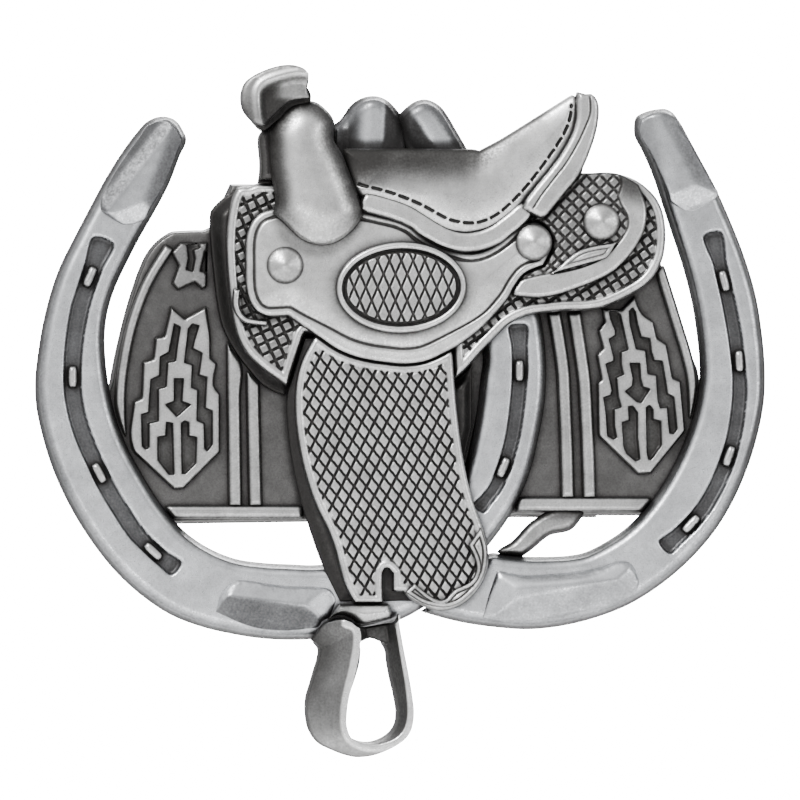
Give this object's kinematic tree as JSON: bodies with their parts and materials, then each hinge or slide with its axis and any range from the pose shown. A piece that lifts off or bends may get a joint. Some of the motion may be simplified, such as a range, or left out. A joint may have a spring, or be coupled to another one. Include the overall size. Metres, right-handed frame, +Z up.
{
  "type": "belt buckle",
  "caption": "Western belt buckle in antique silver: a saddle on a patterned blanket over two overlapping horseshoes, with a hinged bail and a hook stud behind.",
  "frame": {"origin": "on the flat back of the blanket plate, at the middle of the buckle's width and height", "axes": "+X to the viewer's right across the front, +Z up as worn, the front faces -Y and the belt lies behind it at +Y"},
  "size_m": [0.0939, 0.017, 0.0883],
  "materials": {
    "raised_silver": "antique silver plate on zinc, rubbed bright on the raised faces, soft satin",
    "antiqued_silver": "antique silver plate left dark with patina in the recesses, fine cast grain",
    "shoe_silver": "antique silver plate, satin, slightly cooler grey",
    "fitting_nickel": "nickel plate over steel, satin"
  },
  "bodies": {
    "buckle": {"blanket": "antiqued_silver", "cantle_binding": "raised_silver", "cinch_strap": "raised_silver", "fender": "raised_silver", "fender_corner_plate": "raised_silver", "fender_lining": "antiqued_silver", "fork": "raised_silver", "front_concho": "raised_silver", "front_skirt": "raised_silver", "front_tree_pad": "antiqued_silver", "hobble_strap": "raised_silver", "hook_stud": "fitting_nickel", "horn_cap": "raised_silver", "horn_neck": "antiqued_silver", "left_heel_calk": "shoe_silver", "left_hem": "raised_silver", "left_horseshoe": "shoe_silver", "left_medallion": "raised_silver", "left_rail": "raised_silver", "left_shoe_nail_1": "raised_silver", "left_shoe_nail_2": "raised_silver", "left_shoe_nail_3": "raised_silver", "left_shoe_nail_4": "raised_silver", "left_shoe_nail_5": "raised_silver", "left_shoe_nail_6": "raised_silver", "left_stripe_inner": "raised_silver", "left_stripe_outer": "raised_silver", "left_toe_calk": "shoe_silver", "left_top_motif": "raised_silver", "lower_lug": "fitting_nickel", "middle_concho": "raised_silver", "oval_concho_panel": "raised_silver", "oval_concho_rim": "raised_silver", "pommel_plate": "antiqued_silver", "rear_concho": "raised_silver", "rear_jockey": "raised_silver", "rear_jockey_leaf": "raised_silver", "rear_skirt": "raised_silver", "rear_tree_pad": "antiqued_silver", "rigging_dee": "raised_silver", "right_heel_calk": "shoe_silver", "right_hem": "raised_silver", "right_horseshoe": "shoe_silver", "right_horseshoe_far_heel": "shoe_silver", "right_medallion": "raised_silver", "right_rail": "raised_silver", "right_shoe_nail_1": "raised_silver", "right_shoe_nail_2": "raised_silver", "right_shoe_nail_3": "raised_silver", "right_shoe_nail_4": "raised_silver", "right_stripe_inner": "raised_silver", "right_stripe_outer": "raised_silver", "right_toe_calk": "shoe_silver", "seat": "raised_silver", "seat_jockey": "raised_silver", "seat_welt": "raised_silver", "stirrup": "raised_silver", "stirrup_leather": "antiqued_silver", "upper_lug": "fitting_nickel"},
    "bail": {"bail": "fitting_nickel"}
  },
  "joints": [
    {"name": "bail_hinge", "type": "hinge", "parent": "buckle", "child": "bail", "pos_m": [0.024, 0.0032, 0.00875], "axis": [0, 0, -1], "range_deg": [0, 180]}
  ]
}
